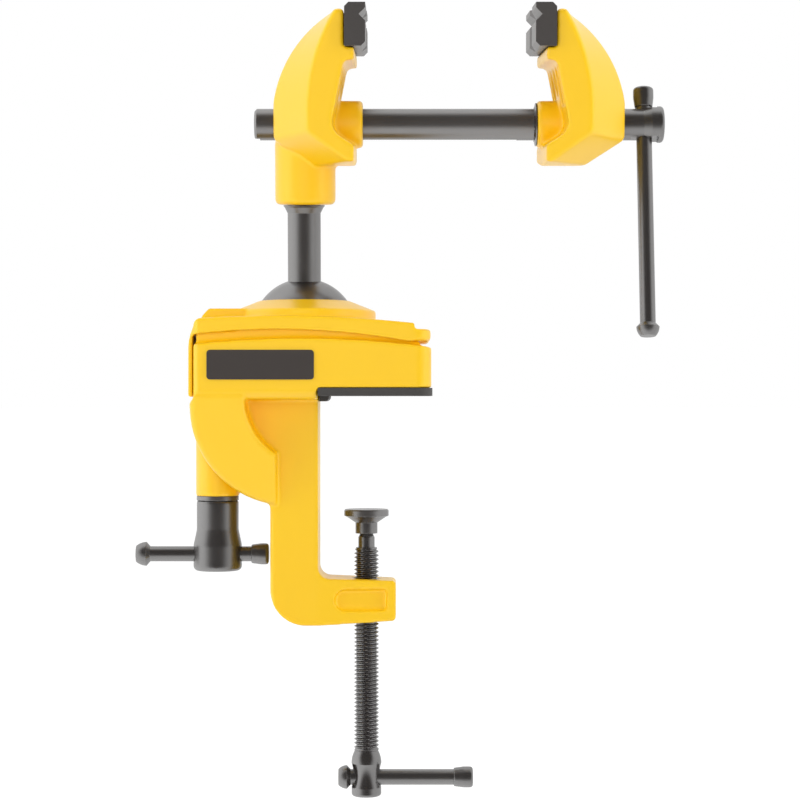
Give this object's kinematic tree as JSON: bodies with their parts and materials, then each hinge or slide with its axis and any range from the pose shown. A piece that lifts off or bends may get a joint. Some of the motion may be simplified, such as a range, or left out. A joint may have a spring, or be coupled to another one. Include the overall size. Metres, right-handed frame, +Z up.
{
  "type": "clamp-on ball-joint bench vise",
  "caption": "Bench vise that clamps to a table edge and turns and tilts on a locking ball joint, with grooved jaw pads and sliding T-handles.",
  "frame": {"origin": "on the clamp screw's axis, in the plane of the bench pad's underside (the bench top)", "axes": "+Z up through the bench, +X from the fixed jaw to the moving jaw along the slide bar, +Y away from the viewer of the base's front"},
  "size_m": [0.2359, 0.084, 0.3549],
  "materials": {
    "yellow_enamel": "gloss yellow enamel over cast metal",
    "black_steel": "black oxide, oiled, satin",
    "spring_steel": "bare spring steel",
    "bronze_nut": "bare bronze",
    "black_rubber": "moulded rubber, matt",
    "seat_plastic": "moulded friction ring",
    "plate_plastic": "blank moulded plate, satin",
    "jaw_pad_plastic": "moulded grippy jaw pad, matt"
  },
  "bodies": {
    "base": {"clamp_frame": "yellow_enamel", "clamp_cap": "yellow_enamel", "bench_pad": "black_rubber", "front_plate": "plate_plastic", "lock_nut": "black_steel"},
    "seat": {"ball_seat": "seat_plastic"},
    "ball": {"ball_stem": "black_steel"},
    "fixed_jaw": {"fixed_jaw": "yellow_enamel", "fixed_jaw_pad": "jaw_pad_plastic", "lead_nut": "bronze_nut", "nut_key": "black_steel"},
    "moving_jaw": {"moving_jaw": "yellow_enamel", "moving_jaw_pad": "jaw_pad_plastic", "slide_tube": "black_steel", "tube_star_ring": "black_steel"},
    "jaw_screw": {"lead_screw": "black_steel", "screw_clip": "spring_steel"},
    "jaw_bar": {"jaw_bar": "black_steel", "jaw_bar_knob": "black_steel"},
    "swivel_pad": {"swivel_pad": "black_steel"},
    "clamp_screw": {"clamp_screw": "black_steel"},
    "clamp_bar": {"clamp_bar": "black_steel", "clamp_bar_knob": "black_steel"},
    "lock_washer": {"lock_washer": "black_steel"},
    "lock_screw": {"lock_screw": "black_steel"},
    "lock_bar": {"lock_bar": "black_steel", "lock_bar_knob": "black_steel"}
  },
  "joints": [
    {"name": "ball_yaw", "type": "hinge", "parent": "base", "child": "seat", "pos_m": [-0.0278, 0, 0.0293], "axis": [0, 0, 1], "continuous": true},
    {"name": "ball_tilt", "type": "hinge", "parent": "seat", "child": "ball", "pos_m": [-0.0278, 0, 0.0293], "axis": [1, 0, 0], "range_deg": [-40, 29]},
    {"name": "head_spin", "type": "hinge", "parent": "ball", "child": "fixed_jaw", "pos_m": [-0.0278, 0, 0.0293], "axis": [0, -0.0958, 0.9954], "continuous": true},
    {"name": "jaw_slide", "type": "slide", "parent": "fixed_jaw", "child": "moving_jaw", "axis": [1, 0, 0], "range_m": [-0.0725, 0]},
    {"name": "jaw_screw_turn", "type": "hinge", "parent": "moving_jaw", "child": "jaw_screw", "pos_m": [0.1141, -0.00883, 0.12098], "axis": [1, 0, 0], "range_deg": [-13051, 0]},
    {"name": "jaw_bar_slide", "type": "slide", "parent": "jaw_screw", "child": "jaw_bar", "axis": [0, 0.1736, 0.9848], "range_m": [0, 0.0825]},
    {"name": "clamp_travel", "type": "slide", "parent": "base", "child": "swivel_pad", "axis": [0, 0, 1], "range_m": [-0.0185, 0.0505]},
    {"name": "clamp_screw_turn", "type": "hinge", "parent": "swivel_pad", "child": "clamp_screw", "pos_m": [0, 0, -0.0576], "axis": [0, 0, 1], "range_deg": [-3672, 10023]},
    {"name": "clamp_bar_slide", "type": "slide", "parent": "clamp_screw", "child": "clamp_bar", "axis": [1, 0, 0], "range_m": [-0.032, 0]},
    {"name": "lock_travel", "type": "slide", "parent": "base", "child": "lock_washer", "axis": [0, 0, 1], "range_m": [-0.0005, 0]},
    {"name": "lock_turn", "type": "hinge", "parent": "lock_washer", "child": "lock_screw", "pos_m": [-0.0669, 0, -0.071], "axis": [0, 0, 1], "range_deg": [-120, 0]},
    {"name": "lock_bar_slide", "type": "slide", "parent": "lock_screw", "child": "lock_bar", "axis": [1, 0, 0], "range_m": [-0.004, 0]}
  ],
  "couplings": [
    {"joint": "jaw_screw_turn", "follows": "jaw_slide", "rad_per_m": 3141.6},
    {"joint": "clamp_screw_turn", "follows": "clamp_travel", "rad_per_m": 3463.7},
    {"joint": "lock_turn", "follows": "lock_travel", "rad_per_m": 4188.8}
  ]
}
